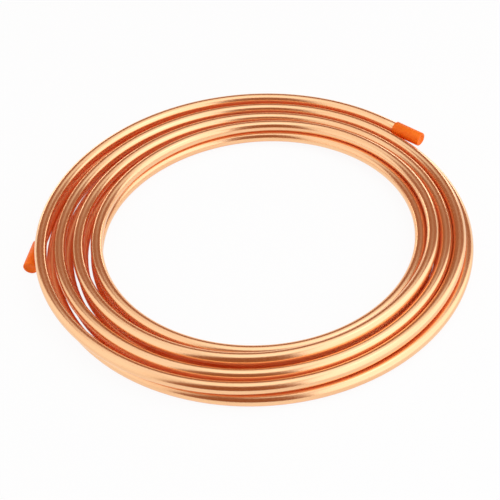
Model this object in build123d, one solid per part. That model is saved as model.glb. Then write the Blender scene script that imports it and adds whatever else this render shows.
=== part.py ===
"""Coil of soft copper tube, wound flat in two layers, with a push-on cap on each end.

The tube starts at the outside of the upper layer, winds inwards, drops to the lower layer after
its innermost upper turn and winds outwards again. The turns spread on the open side, -X, and lie
close together on the tight side, +X, where the innermost upper turn climbs over the turn that
drops. Every half turn runs from a station on one side to the next station on the other side, as
an arc that is square to the X axis at both ends, so each arc goes on smoothly into the next.
Radii are measured from the coil's axis, Z, to the middle of the tube, and the coil lies on z = 0.
"""
import os
from math import cos, radians, sin

from build123d import *

# Tube
tube_od = 9.525
tube_wall = 0.813

# Room between turns that lie against each other, and between the two layers
turn_gap = 0.2
layer_gap = 0.2

# Upper layer: innermost turn, the gap from each turn to the next one out, rise of the open side
upper_turns = 4
inner_open_radius = 125.5
inner_tight_radius = 139.7
upper_open_gap = 5.45
upper_tight_gap = 0.83
upper_open_rise = 1.0

# Turn that drops, on the tight side: how far the innermost upper turn climbs over it, how far it
# lies tucked under that turn, and how far it has come down there
inner_climb = 4.75
drop_tuck = 0.4
drop_fall = 2.4

# Lower layer: how far its first turn lies outside and inside the innermost upper turn
lower_turns = 4
lower_open_step_out = 0.8
lower_tight_step_in = 2.3
lower_open_gap = 2.3

# Free ends: angles in degrees, then the straight runs with their caps
start_angle = 73
start_run = 37.0
finish_angle = 16
finish_run = 52.0

# End caps
cap_od = 11.7
cap_length = 27.0
cap_end_wall = 1.8
cap_fit = 0.1
cap_rim_radius = 1.0
cap_mouth_bevel = 0.6
cap_dish_depth = 0.4
cap_dish_rim = 2.0
cap_crossing_gap = 0.4

HALF_TURN = 180

close_pitch = tube_od + turn_gap
upper_open_pitch = tube_od + upper_open_gap
upper_tight_pitch = tube_od + upper_tight_gap
lower_open_pitch = tube_od + lower_open_gap
drop_radius = inner_tight_radius - tube_od + drop_tuck
lower_open_radius = inner_open_radius + lower_open_step_out
lower_tight_radius = inner_tight_radius - lower_tight_step_in

lower_height = tube_od / 2
upper_height = lower_height + tube_od + layer_gap
upper_open_height = upper_height + upper_open_rise
climb_height = upper_height + inner_climb
drop_height = upper_height - drop_fall
cap_proud = (cap_od - tube_od) / 2
start_height = upper_height + cap_proud
finish_height = cap_od / 2
crossing_height = cap_od + cap_crossing_gap + tube_od / 2


def winding_stations():
    """Radius and height of the tube at each crossing of the X axis, tight side first."""
    stations = []
    for turn in reversed(range(upper_turns)):
        stations.append((inner_tight_radius + turn * upper_tight_pitch, upper_height))
        stations.append((inner_open_radius + turn * upper_open_pitch, upper_open_height))
    stations[-2] = (inner_tight_radius, climb_height)
    stations.append((drop_radius, drop_height))
    stations.append((lower_open_radius, lower_height))
    for turn in range(1, lower_turns):
        stations.append((lower_tight_radius + (turn - 1) * close_pitch, lower_height))
        stations.append((lower_open_radius + turn * lower_open_pitch, lower_height))
    last_open_radius = stations[-1][0] + close_pitch
    stations.append((lower_tight_radius + (lower_turns - 1) * close_pitch, lower_height))
    stations.append((last_open_radius, finish_height))
    # The first end is lifted by its cap, and its turn then rises over the cap of the other end.
    stations[0] = (stations[0][0], start_height)
    stations[1] = (stations[1][0], crossing_height)
    return stations


def tube_section(point, direction):
    """Ring-shaped section of the tube, square to its direction."""
    ring = Circle(tube_od / 2) - Circle(tube_od / 2 - tube_wall)
    return Plane(origin=point, z_dir=direction) * ring


class Arc:
    """Half turn from one station to the next; side is 1 where it starts on the tight side."""

    def __init__(self, first, second, side):
        begin = Vector(side * first[0], 0, first[1])
        end = Vector(-side * second[0], 0, second[1])
        self.centre = (begin + end) * 0.5
        self.arm = begin - self.centre
        self.heading = Vector(0, side, 0)
        self.normal = self.arm.cross(self.heading).normalized()

    def point(self, angle):
        across = self.arm * cos(radians(angle))
        return self.centre + across + self.heading * (self.arm.length * sin(radians(angle)))

    def direction(self, angle):
        inward = self.arm.normalized() * -sin(radians(angle))
        return inward + self.heading * cos(radians(angle))

    def length(self, start, stop):
        return self.arm.length * radians(stop - start)

    def solid(self, start, stop):
        section = tube_section(self.point(start), self.direction(start))
        return revolve(section, Axis(self.centre, self.normal), stop - start)


def straight(point, direction, run):
    return extrude(tube_section(point, direction), run)


def end_cap(tip, outward):
    """Soft cap pushed over a tube end until the tip meets its end wall; its mouth is bevelled."""
    top = (Align.CENTER, Align.CENTER, Align.MAX)
    end_face = Pos(0, 0, cap_end_wall)
    cap = end_face * Cylinder(cap_od / 2, cap_length, align=top)
    cap = fillet(cap.edges().sort_by(Axis.Z)[-1], cap_rim_radius)
    cap = chamfer(cap.edges().sort_by(Axis.Z)[0], cap_mouth_bevel)
    cap -= Cylinder(tube_od / 2 + cap_fit, cap_length - cap_end_wall, align=top)
    cap -= end_face * Cylinder(cap_od / 2 - cap_dish_rim, cap_dish_depth, align=top)
    return Plane(origin=tip, z_dir=outward) * cap


stations = winding_stations()
arcs = []
for number in range(len(stations) - 1):
    side = 1 if number % 2 == 0 else -1
    arcs.append(Arc(stations[number], stations[number + 1], side))
# The lower end goes on past its last station at the same radius, level with its cap.
arcs.append(Arc(stations[-1], stations[-1], -1))
spans = [(0, HALF_TURN)] * len(arcs)
spans[0] = (start_angle, HALF_TURN)
spans[-1] = (0, finish_angle)

start_point = arcs[0].point(start_angle)
start_outward = arcs[0].direction(start_angle) * -1
finish_point = arcs[-1].point(finish_angle)
finish_outward = arcs[-1].direction(finish_angle)

pieces = [straight(start_point, start_outward, start_run)]
pieces += [arc.solid(*span) for arc, span in zip(arcs, spans)]
pieces.append(straight(finish_point, finish_outward, finish_run))
copper_tube = pieces[0].fuse(*pieces[1:])

upper_tip = start_point + start_outward * start_run
lower_tip = finish_point + finish_outward * finish_run
nodes = {
    "copper_tube": copper_tube,
    "upper_end_cap": end_cap(upper_tip, start_outward),
    "lower_end_cap": end_cap(lower_tip, finish_outward),
}

os.makedirs("parts", exist_ok=True)
for name, shape in nodes.items():
    export_step(shape, f"parts/{name}.step")

ring_area = (tube_od - tube_wall) * tube_wall * radians(HALF_TURN)
tube_length = start_run + finish_run + sum(a.length(*s) for a, s in zip(arcs, spans))
print(f"tube length {tube_length:.1f} mm, section times length {ring_area * tube_length:.0f} mm3")
print(f"tube volume {copper_tube.volume:.0f} mm3 in {len(copper_tube.solids())} solid")
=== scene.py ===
"""Coil of bright copper tube with an orange cap on each end, on a pale studio floor."""

from math import ceil, cos, pi, radians, sin

import bpy
import numpy as np
from mathutils import Matrix, Vector


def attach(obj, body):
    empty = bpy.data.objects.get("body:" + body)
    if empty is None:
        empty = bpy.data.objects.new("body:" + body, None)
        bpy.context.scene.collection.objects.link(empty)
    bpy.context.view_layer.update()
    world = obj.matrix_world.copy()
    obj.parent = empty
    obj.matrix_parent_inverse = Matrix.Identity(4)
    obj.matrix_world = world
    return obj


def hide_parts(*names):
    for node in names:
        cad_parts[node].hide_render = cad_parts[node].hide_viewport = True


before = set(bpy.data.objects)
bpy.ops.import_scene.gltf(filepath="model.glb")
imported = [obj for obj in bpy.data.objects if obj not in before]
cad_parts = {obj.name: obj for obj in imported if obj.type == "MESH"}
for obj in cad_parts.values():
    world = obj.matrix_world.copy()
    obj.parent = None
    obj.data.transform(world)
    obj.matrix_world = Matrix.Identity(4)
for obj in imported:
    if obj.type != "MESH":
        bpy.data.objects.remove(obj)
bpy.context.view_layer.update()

# Tube and winding, in metres and degrees, as in the part's source
TUBE_OD = 0.009525
TUBE_WALL = 0.000813
TURN_GAP = 0.0002
LAYER_GAP = 0.0002
UPPER_TURNS = 4
INNER_OPEN_RADIUS = 0.1255
INNER_TIGHT_RADIUS = 0.1397
UPPER_OPEN_GAP = 0.00545
UPPER_TIGHT_GAP = 0.00083
UPPER_OPEN_RISE = 0.001
INNER_CLIMB = 0.00475
DROP_TUCK = 0.0004
DROP_FALL = 0.0024
LOWER_TURNS = 4
LOWER_OPEN_STEP_OUT = 0.0008
LOWER_TIGHT_STEP_IN = 0.0023
LOWER_OPEN_GAP = 0.0023
START_ANGLE = 73
START_RUN = 0.037
FINISH_ANGLE = 16
FINISH_RUN = 0.052
QUARTER_TURN = 90
HALF_TURN = 180

# End caps
CAP_OD = 0.0117
CAP_LENGTH = 0.027
CAP_END_WALL = 0.0018
CAP_FIT = 0.0001
CAP_RIM_RADIUS = 0.001
CAP_MOUTH_BEVEL = 0.0006
CAP_DISH_DEPTH = 0.0004
CAP_DISH_RIM = 0.002
CAP_CROSSING_GAP = 0.0004

# Fineness of the meshes: sides of a ring, degrees from ring to ring, flats of a cap's rounded rim
TUBE_SIDES = 48
BORE_SIDES = 24
RING_STEP = 2.5
CAP_SIDES = 96
RIM_FLATS = 8

# Copper: colours, then the noise behind each feature and the span of it that shows
COPPER = (0.98, 0.60, 0.335)
COPPER_CLOUD = (0.95, 0.55, 0.29)
COPPER_LINE = (0.88, 0.45, 0.225)
COPPER_SPECK = (0.55, 0.24, 0.12)
# Painted shade and bounce light between the turns, a deep red laid on by an ambient occlusion mask
PAINTED_CREVICE_SHADE_AND_BOUNCE = (1.0, 0.26, 0.035)
UNIT_SPAN = (0, 1)
LINE_SCALE = (14, 14, 4)
LINE_DETAIL = 3
LINE_GRAIN = 0.55
LINE_SPAN = (0.55, 0.75)
LINE_BLEND = (0, 0.25)
CLOUD_SCALE = (1.1, 1.1, 14)
CLOUD_DETAIL = 3
CLOUD_SPAN = (0.35, 0.65)
SPECK_SCALE = (900, 900, 900)
SPECK_DETAIL = 1
SPECK_SPAN = (0.74, 0.80)
SPECK_BLEND = (0, 0.7)
# Mask for the painted shade and bounce light between turns, and the metal and roughness it changes
# there
CREVICE_REACH = 0.012
CREVICE_SPAN = (0.15, 0.6)
CREVICE_BLEND = (1, 0)
CREVICE_METALLIC = (1, 0.15)
ROUGHNESS_SPAN = (0.3, 0.7)
LINE_ROUGHNESS = (0.18, 0.22)
CLOUD_ROUGHNESS = (0, 0.05)
CREVICE_ROUGHNESS = (0, 0.25)
LINE_RELIEF = 0.012
RELIEF_DEPTH = 0.0001

# Vinyl of the caps
VINYL = (1.0, 0.20, 0.012)
VINYL_CLOUD = (1.0, 0.165, 0.008)
VINYL_CLOUD_SCALE = (260, 260, 260)
VINYL_GRAIN_SCALE = (2600, 2600, 2600)
VINYL_DETAIL = 2
VINYL_ROUGHNESS = (0.42, 0.56)
VINYL_SPECULAR = 0.15
VINYL_RELIEF = 0.08

# Camera: the picture is 500 pixels square, and the coil's middle lies off its centre
PICTURE = 500
VIEW_AZIMUTH = 27.0
VIEW_ELEVATION = 42.4
VIEW_DISTANCE = 0.8874
VIEW_ROLL = -3.9
PIXELS_PER_DISTANCE = 1118
MIDDLE_X = 255.2
MIDDLE_Y = 227.7
SENSOR = 36.0

# Studio
WHITE = (1, 1, 1)
COOL_WHITE = (0.8, 0.88, 1.0)
FLOOR_REACH = 3.0
FLOOR_TONE = (0.9, 0.9, 0.9)
FLOOR_ROUGHNESS = 0.9
FLOOR_GLOW = (0, 0.93)
CARD_BENDS = 24
STRIP_RIGHT = 0.5
STRIP_BACK = 0.76
STRIP_UP = 0.09
STUDIO_BACK = Vector((-sin(radians(VIEW_AZIMUTH)), cos(radians(VIEW_AZIMUTH)), 0))
STUDIO_RIGHT = Vector((cos(radians(VIEW_AZIMUTH)), sin(radians(VIEW_AZIMUTH)), 0))
STUDIO_UP = Vector((0, 0, 1))

CLOSE_PITCH = TUBE_OD + TURN_GAP
UPPER_OPEN_PITCH = TUBE_OD + UPPER_OPEN_GAP
UPPER_TIGHT_PITCH = TUBE_OD + UPPER_TIGHT_GAP
LOWER_OPEN_PITCH = TUBE_OD + LOWER_OPEN_GAP
DROP_RADIUS = INNER_TIGHT_RADIUS - TUBE_OD + DROP_TUCK
LOWER_OPEN_RADIUS = INNER_OPEN_RADIUS + LOWER_OPEN_STEP_OUT
LOWER_TIGHT_RADIUS = INNER_TIGHT_RADIUS - LOWER_TIGHT_STEP_IN

LOWER_HEIGHT = TUBE_OD / 2
UPPER_HEIGHT = LOWER_HEIGHT + TUBE_OD + LAYER_GAP
UPPER_OPEN_HEIGHT = UPPER_HEIGHT + UPPER_OPEN_RISE
CLIMB_HEIGHT = UPPER_HEIGHT + INNER_CLIMB
DROP_HEIGHT = UPPER_HEIGHT - DROP_FALL
START_HEIGHT = UPPER_HEIGHT + (CAP_OD - TUBE_OD) / 2
FINISH_HEIGHT = CAP_OD / 2
CROSSING_HEIGHT = CAP_OD + CAP_CROSSING_GAP + TUBE_OD / 2


# Winding


def winding_stations():
    """Radius and height of the tube at each crossing of the X axis, tight side first."""
    stations = []
    for turn in reversed(range(UPPER_TURNS)):
        stations.append((INNER_TIGHT_RADIUS + turn * UPPER_TIGHT_PITCH, UPPER_HEIGHT))
        stations.append((INNER_OPEN_RADIUS + turn * UPPER_OPEN_PITCH, UPPER_OPEN_HEIGHT))
    stations[-2] = (INNER_TIGHT_RADIUS, CLIMB_HEIGHT)
    stations.append((DROP_RADIUS, DROP_HEIGHT))
    stations.append((LOWER_OPEN_RADIUS, LOWER_HEIGHT))
    for turn in range(1, LOWER_TURNS):
        stations.append((LOWER_TIGHT_RADIUS + (turn - 1) * CLOSE_PITCH, LOWER_HEIGHT))
        stations.append((LOWER_OPEN_RADIUS + turn * LOWER_OPEN_PITCH, LOWER_HEIGHT))
    last_open_radius = stations[-1][0] + CLOSE_PITCH
    stations.append((LOWER_TIGHT_RADIUS + (LOWER_TURNS - 1) * CLOSE_PITCH, LOWER_HEIGHT))
    stations.append((last_open_radius, FINISH_HEIGHT))
    # The first end is lifted by its cap, and its turn then rises over the cap of the other end.
    stations[0] = (stations[0][0], START_HEIGHT)
    stations[1] = (stations[1][0], CROSSING_HEIGHT)
    return stations


def arc_points(first, second, side, start, stop):
    """Points and directions along a half turn, or part of one, from one station to the next."""
    begin = np.array([side * first[0], 0, first[1]])
    end = np.array([-side * second[0], 0, second[1]])
    centre = (begin + end) / 2
    arm = begin - centre
    radius = np.linalg.norm(arm)
    heading = np.array([0, side, 0])
    steps = ceil((stop - start) / RING_STEP)
    angle = np.radians(np.linspace(start, stop, steps + 1))[:, None]
    points = centre + arm * np.cos(angle) + heading * radius * np.sin(angle)
    directions = -arm / radius * np.sin(angle) + heading * np.cos(angle)
    return points, directions


def tube_path():
    """Points and directions of the tube's middle line, from the upper end to the lower end."""
    stations = winding_stations()
    legs = []
    for number in range(len(stations) - 1):
        side = 1 if number % 2 == 0 else -1
        start = START_ANGLE if number == 0 else 0
        legs.append(arc_points(stations[number], stations[number + 1], side, start, HALF_TURN))
    legs.append(arc_points(stations[-1], stations[-1], -1, 0, FINISH_ANGLE))
    first_point, first_direction = legs[0][0][0], legs[0][1][0]
    last_point, last_direction = legs[-1][0][-1], legs[-1][1][-1]
    points = [first_point - first_direction * START_RUN]
    directions = [first_direction]
    for leg_points, leg_directions in legs:
        points.extend(leg_points[:-1])
        directions.extend(leg_directions[:-1])
    points += [last_point, last_point + last_direction * FINISH_RUN]
    directions += [last_direction, last_direction]
    return np.array(points), np.array(directions)


# Meshes


def new_object(name, vertices, faces):
    mesh = bpy.data.meshes.new(name)
    mesh.from_pydata([tuple(v) for v in vertices], [], [tuple(f) for f in faces])
    mesh.validate()
    obj = bpy.data.objects.new(name, mesh)
    bpy.context.scene.collection.objects.link(obj)
    return obj


def ring_rows(points, directions, radius, sides):
    """Vertices of rings square to the path, one row of sides for each point."""
    across = np.cross(directions, (0, 0, 1))
    across /= np.linalg.norm(across, axis=1, keepdims=True)
    upward = np.cross(across, directions)
    angle = np.linspace(0, 2 * pi, sides, endpoint=False)[:, None]
    circle = across[:, None] * np.cos(angle) + upward[:, None] * np.sin(angle)
    return points[:, None] + radius * circle


def wall_faces(rows, sides, first, inward):
    """Quads between neighbouring rings."""
    faces = []
    for row in range(rows - 1):
        for side in range(sides):
            a = first + row * sides + side
            b = first + row * sides + (side + 1) % sides
            quad = (a, b, b + sides, a + sides)
            faces.append(quad if inward else quad[::-1])
    return faces


def end_faces(outer_first, inner_first, flip):
    """Ring-shaped end of the tube, between the outer wall and the bore."""
    ratio = TUBE_SIDES // BORE_SIDES
    faces = []
    for side in range(BORE_SIDES):
        outer = [outer_first + (side * ratio + step) % TUBE_SIDES for step in range(ratio + 1)]
        inner = [inner_first + (side + 1) % BORE_SIDES, inner_first + side]
        face = outer + inner
        faces.append(face[::-1] if flip else face)
    return faces


def make_tube(points, directions):
    """Hollow tube along its middle line, open at both ends."""
    rows = len(points)
    outer = ring_rows(points, directions, TUBE_OD / 2, TUBE_SIDES).reshape(-1, 3)
    bore = ring_rows(points, directions, TUBE_OD / 2 - TUBE_WALL, BORE_SIDES).reshape(-1, 3)
    vertices = np.concatenate([outer, bore])
    faces = wall_faces(rows, TUBE_SIDES, 0, False)
    faces += wall_faces(rows, BORE_SIDES, len(outer), True)
    walls = len(faces)
    faces += end_faces(0, len(outer), False)
    faces += end_faces((rows - 1) * TUBE_SIDES, len(outer) + (rows - 1) * BORE_SIDES, True)
    obj = new_object("coiled_tube", vertices, faces)
    smooth = np.arange(len(faces)) < walls
    obj.data.polygons.foreach_set("use_smooth", smooth)
    # Place along and around the tube, for the draw lines in its finish
    along = np.concatenate([[0], np.cumsum(np.linalg.norm(np.diff(points, axis=0), axis=1))])
    space = []
    for sides in (TUBE_SIDES, BORE_SIDES):
        angle = np.tile(np.linspace(0, 2 * pi, sides, endpoint=False), rows)
        space.append(np.stack([np.cos(angle), np.sin(angle), np.repeat(along, sides)], axis=1))
    attribute = obj.data.attributes.new("tube_space", "FLOAT_VECTOR", "POINT")
    attribute.data.foreach_set("vector", np.concatenate(space).ravel())
    return obj


def make_cap(name, tip, outward):
    """Cap turned from its profile: bore, mouth, sleeve, rounded rim and dished end."""
    outer = CAP_OD / 2
    bore = TUBE_OD / 2 + CAP_FIT
    mouth = CAP_END_WALL - CAP_LENGTH
    dish = outer - CAP_DISH_RIM
    floor = CAP_END_WALL - CAP_DISH_DEPTH
    profile = [(0, 0), (bore, 0), (bore, mouth), (outer - CAP_MOUTH_BEVEL, mouth)]
    profile += [(outer, mouth + CAP_MOUTH_BEVEL)]
    for step in range(RIM_FLATS + 1):
        turn = radians(QUARTER_TURN * step / RIM_FLATS)
        reach = outer - CAP_RIM_RADIUS + CAP_RIM_RADIUS * cos(turn)
        profile.append((reach, CAP_END_WALL - CAP_RIM_RADIUS + CAP_RIM_RADIUS * sin(turn)))
    profile += [(dish, CAP_END_WALL), (dish - CAP_DISH_DEPTH, floor), (0, floor)]
    vertices = []
    rows = []
    for reach, height in profile:
        count = 1 if reach == 0 else CAP_SIDES
        rows.append((len(vertices), count))
        for side in range(count):
            angle = 2 * pi * side / CAP_SIDES
            vertices.append((reach * cos(angle), reach * sin(angle), height))
    faces = []
    for (first, count), (second, next_count) in zip(rows, rows[1:]):
        for side in range(CAP_SIDES):
            step = (side + 1) % CAP_SIDES
            if count == 1:
                faces.append((first, second + side, second + step))
            elif next_count == 1:
                faces.append((first + side, second, first + step))
            else:
                faces.append((first + side, second + side, second + step, first + step))
    obj = new_object(name, vertices, [f[::-1] for f in faces])
    turn = Vector((0, 0, 1)).rotation_difference(Vector(outward)).to_matrix().to_4x4()
    obj.data.transform(Matrix.Translation(tip) @ turn)
    obj.data.shade_smooth()
    return obj


# Materials


def new_material(name):
    material = bpy.data.materials.new(name)
    material.use_nodes = True
    return material, material.node_tree, material.node_tree.nodes["Principled BSDF"]


def noise(tree, vector, detail, roughness=0.5):
    node = tree.nodes.new("ShaderNodeTexNoise")
    node.inputs["Scale"].default_value = 1
    node.inputs["Detail"].default_value = detail
    node.inputs["Roughness"].default_value = roughness
    tree.links.new(vector, node.inputs["Vector"])
    return node.outputs["Fac"]


def stretched(tree, vector, scale):
    node = tree.nodes.new("ShaderNodeVectorMath")
    node.operation = "MULTIPLY"
    node.inputs[1].default_value = scale
    tree.links.new(vector, node.inputs[0])
    return node.outputs["Vector"]


def mapped(tree, value, span, result):
    """Value moved from one span to another, and held at the ends."""
    node = tree.nodes.new("ShaderNodeMapRange")
    sockets = ("From Min", "From Max", "To Min", "To Max")
    for socket, number in zip(sockets, (*span, *result)):
        node.inputs[socket].default_value = number
    tree.links.new(value, node.inputs["Value"])
    return node.outputs["Result"]


def blended(tree, factor, first, second):
    """Mix of a colour, or a node's colour, with a second colour."""
    node = tree.nodes.new("ShaderNodeMix")
    node.data_type = "RGBA"
    sockets = {s.identifier: s for s in node.inputs}
    if isinstance(first, tuple):
        sockets["A_Color"].default_value = (*first, 1)
    else:
        tree.links.new(first, sockets["A_Color"])
    sockets["B_Color"].default_value = (*second, 1)
    tree.links.new(factor, sockets["Factor_Float"])
    return [s for s in node.outputs if s.identifier == "Result_Color"][0]


def added(tree, first, second):
    node = tree.nodes.new("ShaderNodeMath")
    node.operation = "ADD"
    tree.links.new(first, node.inputs[0])
    tree.links.new(second, node.inputs[1])
    return node.outputs["Value"]


def bumped(tree, height, strength, distance):
    node = tree.nodes.new("ShaderNodeBump")
    node.inputs["Strength"].default_value = strength
    node.inputs["Distance"].default_value = distance
    tree.links.new(height, node.inputs["Height"])
    return node.outputs["Normal"]


def copper_material():
    """Bright drawn copper: faint lines along the tube, soft clouds of tone and a few dark specks.

    Where turns lie together, an ambient occlusion mask paints shade and light bounced between the
    turns into the colour as a deeper red. It also makes the surface less metallic and rougher
    there.
    """
    material, tree, shader = new_material("bright_copper")
    space = tree.nodes.new("ShaderNodeAttribute")
    space.attribute_name = "tube_space"
    place = space.outputs["Vector"]
    lines = noise(tree, stretched(tree, place, LINE_SCALE), LINE_DETAIL, LINE_GRAIN)
    cloud = noise(tree, stretched(tree, place, CLOUD_SCALE), CLOUD_DETAIL)
    where = tree.nodes.new("ShaderNodeTexCoord").outputs["Object"]
    grit = noise(tree, stretched(tree, where, SPECK_SCALE), SPECK_DETAIL)
    # Painted shade and bounce light: this occlusion mask turns the copper deeper red, less metallic
    # and rougher between turns
    crevice = tree.nodes.new("ShaderNodeAmbientOcclusion")
    crevice.inputs["Distance"].default_value = CREVICE_REACH
    shade = mapped(tree, crevice.outputs["AO"], CREVICE_SPAN, CREVICE_BLEND)
    tone = blended(tree, mapped(tree, cloud, CLOUD_SPAN, UNIT_SPAN), COPPER, COPPER_CLOUD)
    tone = blended(tree, mapped(tree, lines, LINE_SPAN, LINE_BLEND), tone, COPPER_LINE)
    tone = blended(tree, mapped(tree, grit, SPECK_SPAN, SPECK_BLEND), tone, COPPER_SPECK)
    tone = blended(tree, shade, tone, PAINTED_CREVICE_SHADE_AND_BOUNCE)
    tree.links.new(tone, shader.inputs["Base Color"])
    tree.links.new(mapped(tree, shade, UNIT_SPAN, CREVICE_METALLIC), shader.inputs["Metallic"])
    gloss = mapped(tree, lines, ROUGHNESS_SPAN, LINE_ROUGHNESS)
    gloss = added(tree, gloss, mapped(tree, cloud, ROUGHNESS_SPAN, CLOUD_ROUGHNESS))
    gloss = added(tree, gloss, mapped(tree, shade, UNIT_SPAN, CREVICE_ROUGHNESS))
    tree.links.new(gloss, shader.inputs["Roughness"])
    tree.links.new(bumped(tree, lines, LINE_RELIEF, RELIEF_DEPTH), shader.inputs["Normal"])
    return material


def vinyl_material():
    """Soft orange vinyl with a fine matt grain."""
    material, tree, shader = new_material("orange_vinyl")
    where = tree.nodes.new("ShaderNodeTexCoord").outputs["Object"]
    cloud = noise(tree, stretched(tree, where, VINYL_CLOUD_SCALE), VINYL_DETAIL)
    grain = noise(tree, stretched(tree, where, VINYL_GRAIN_SCALE), VINYL_DETAIL)
    tone = blended(tree, mapped(tree, cloud, CLOUD_SPAN, UNIT_SPAN), VINYL, VINYL_CLOUD)
    tree.links.new(tone, shader.inputs["Base Color"])
    tree.links.new(mapped(tree, grain, ROUGHNESS_SPAN, VINYL_ROUGHNESS), shader.inputs["Roughness"])
    tree.links.new(bumped(tree, grain, VINYL_RELIEF, RELIEF_DEPTH), shader.inputs["Normal"])
    shader.inputs["Specular IOR Level"].default_value = VINYL_SPECULAR
    return material


# Studio: a white room with soft panels overhead and at both sides, low strips behind the coil, and
# a dark card before and behind it


def studio_place(right, back, up):
    return STUDIO_RIGHT * right + STUDIO_BACK * back + STUDIO_UP * up


def seen_rays(tree):
    """1 for rays from the camera, off metal or through glass, 0 for the rest."""
    path = tree.nodes.new("ShaderNodeLightPath")
    total = path.outputs["Is Camera Ray"]
    for other in ("Is Glossy Ray", "Is Transmission Ray"):
        total = added(tree, total, path.outputs[other])
    return total


def make_floor():
    """White floor that shows nearly white, with a faint shadow of the coil."""
    corners = []
    for x, y in ((-1, -1), (1, -1), (1, 1), (-1, 1)):
        corners.append((x * FLOOR_REACH, y * FLOOR_REACH, 0))
    floor = new_object("studio_floor", corners, [(0, 1, 2, 3)])
    material, tree, shader = new_material("studio_white")
    shader.inputs["Base Color"].default_value = (*FLOOR_TONE, 1)
    shader.inputs["Roughness"].default_value = FLOOR_ROUGHNESS
    glow = tree.nodes.new("ShaderNodeEmission")
    mix = tree.nodes.new("ShaderNodeMixShader")
    tree.links.new(mapped(tree, seen_rays(tree), UNIT_SPAN, FLOOR_GLOW), mix.inputs["Fac"])
    tree.links.new(shader.outputs["BSDF"], mix.inputs[1])
    tree.links.new(glow.outputs["Emission"], mix.inputs[2])
    tree.links.new(mix.outputs["Shader"], tree.nodes["Material Output"].inputs["Surface"])
    floor.data.materials.append(material)


def make_world():
    world = bpy.data.worlds.new("studio")
    world.use_nodes = True
    world.node_tree.nodes["Background"].inputs["Color"].default_value = (*WHITE, 1)
    bpy.context.scene.world = world


def make_card(name, bearings, reach, foot, tops, colour):
    """Card bent round the coil from one bearing to another, which the metal shows as a dark band.

    Bearings are in degrees, 0 straight behind the coil and 90 to its right. Tops are the heights of
    the card's upper edge at its two ends. The camera doesn't see the card.
    """
    corners = []
    columns = np.linspace((bearings[0], tops[0]), (bearings[1], tops[1]), CARD_BENDS + 1)
    for bearing, top in columns:
        right = reach * sin(radians(bearing))
        back = reach * cos(radians(bearing))
        corners += [studio_place(right, back, foot), studio_place(right, back, top)]
    faces = [(2 * n, 2 * n + 2, 2 * n + 3, 2 * n + 1) for n in range(CARD_BENDS)]
    card = new_object(name, corners, faces)
    material, tree, _ = new_material(name)
    glow = tree.nodes.new("ShaderNodeEmission")
    glow.inputs["Color"].default_value = (*colour, 1)
    tree.links.new(glow.outputs["Emission"], tree.nodes["Material Output"].inputs["Surface"])
    card.data.materials.append(material)
    card.visible_camera = False


def make_panel(name, place, facing, upright, width, height, radiance, colour):
    """Soft rectangular lamp."""
    lamp = bpy.data.lights.new(name, "AREA")
    lamp.shape = "RECTANGLE"
    lamp.size = width
    lamp.size_y = height
    lamp.energy = radiance * pi * width * height
    lamp.color = colour
    obj = bpy.data.objects.new(name, lamp)
    bpy.context.scene.collection.objects.link(obj)
    turn = Matrix((upright.cross(-facing), upright, -facing)).transposed().to_4x4()
    obj.matrix_world = Matrix.Translation(place) @ turn


def make_lights():
    """Cards and lamps, in metres from the middle of the coil as the camera sees it."""
    make_card(
        "rear_card", bearings=(-65, 66), reach=0.95, foot=0.18, tops=(1.1, 1.0),
        colour=(0.36, 0.155, 0.09),
    )
    make_card(
        "front_card", bearings=(163, 219), reach=0.8, foot=0, tops=(1.9, 1.9),
        colour=(0.31, 0.12, 0.055),
    )
    make_panel(
        "overhead_panel", place=studio_place(right=0.2, back=0.05, up=0.9), facing=-STUDIO_UP,
        upright=STUDIO_BACK, width=0.8, height=0.62, radiance=0.42, colour=COOL_WHITE,
    )
    make_panel(
        "right_panel", place=studio_place(right=0.8, back=-1.14, up=1.1), facing=-STUDIO_RIGHT,
        upright=STUDIO_UP, width=2.92, height=2.2, radiance=0.6, colour=COOL_WHITE,
    )
    make_panel(
        "left_panel", place=studio_place(right=-0.8, back=-0.35, up=0.7), facing=STUDIO_RIGHT,
        upright=STUDIO_UP, width=1.3, height=1.4, radiance=0.1, colour=WHITE,
    )
    for name, side in (("rear_left_strip", -1), ("rear_right_strip", 1)):
        place = studio_place(side * STRIP_RIGHT, STRIP_BACK, STRIP_UP)
        inward = -studio_place(side * STRIP_RIGHT, STRIP_BACK, 0).normalized()
        make_panel(
            name, place, facing=inward, upright=STUDIO_UP, width=0.45, height=0.18,
            radiance=1.6, colour=WHITE,
        )


def make_camera():
    aim = Vector((0, 0, UPPER_HEIGHT))
    elevation = radians(VIEW_ELEVATION)
    toward = STUDIO_BACK * cos(elevation) - STUDIO_UP * sin(elevation)
    upright = STUDIO_RIGHT.cross(toward)
    roll = radians(VIEW_ROLL)
    right = STUDIO_RIGHT * cos(roll) + upright * sin(roll)
    upward = upright * cos(roll) - STUDIO_RIGHT * sin(roll)
    lens = bpy.data.cameras.new("camera")
    lens.sensor_width = SENSOR
    lens.lens = SENSOR * PIXELS_PER_DISTANCE / PICTURE
    lens.shift_x = (PICTURE / 2 - MIDDLE_X) / PICTURE
    lens.shift_y = (MIDDLE_Y - PICTURE / 2) / PICTURE
    camera = bpy.data.objects.new("camera", lens)
    bpy.context.scene.collection.objects.link(camera)
    place = Matrix((right, upward, -toward)).transposed().to_4x4()
    camera.matrix_world = Matrix.Translation(aim - toward * VIEW_DISTANCE) @ place
    bpy.context.scene.camera = camera


# Object

points, directions = tube_path()
copper = copper_material()
vinyl = vinyl_material()

tube = make_tube(points, directions)
tube.data.materials.append(copper)
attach(tube, "root")
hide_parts("copper_tube")

for name, node, tip, outward in (
    ("upper_vinyl_cap", "upper_end_cap", points[0], -directions[0]),
    ("lower_vinyl_cap", "lower_end_cap", points[-1], directions[-1]),
):
    cap = make_cap(name, tip, outward)
    cap.data.materials.append(vinyl)
    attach(cap, "root")
    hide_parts(node)

make_floor()
make_world()
make_lights()
make_camera()
bpy.context.scene.view_settings.view_transform = "Standard"
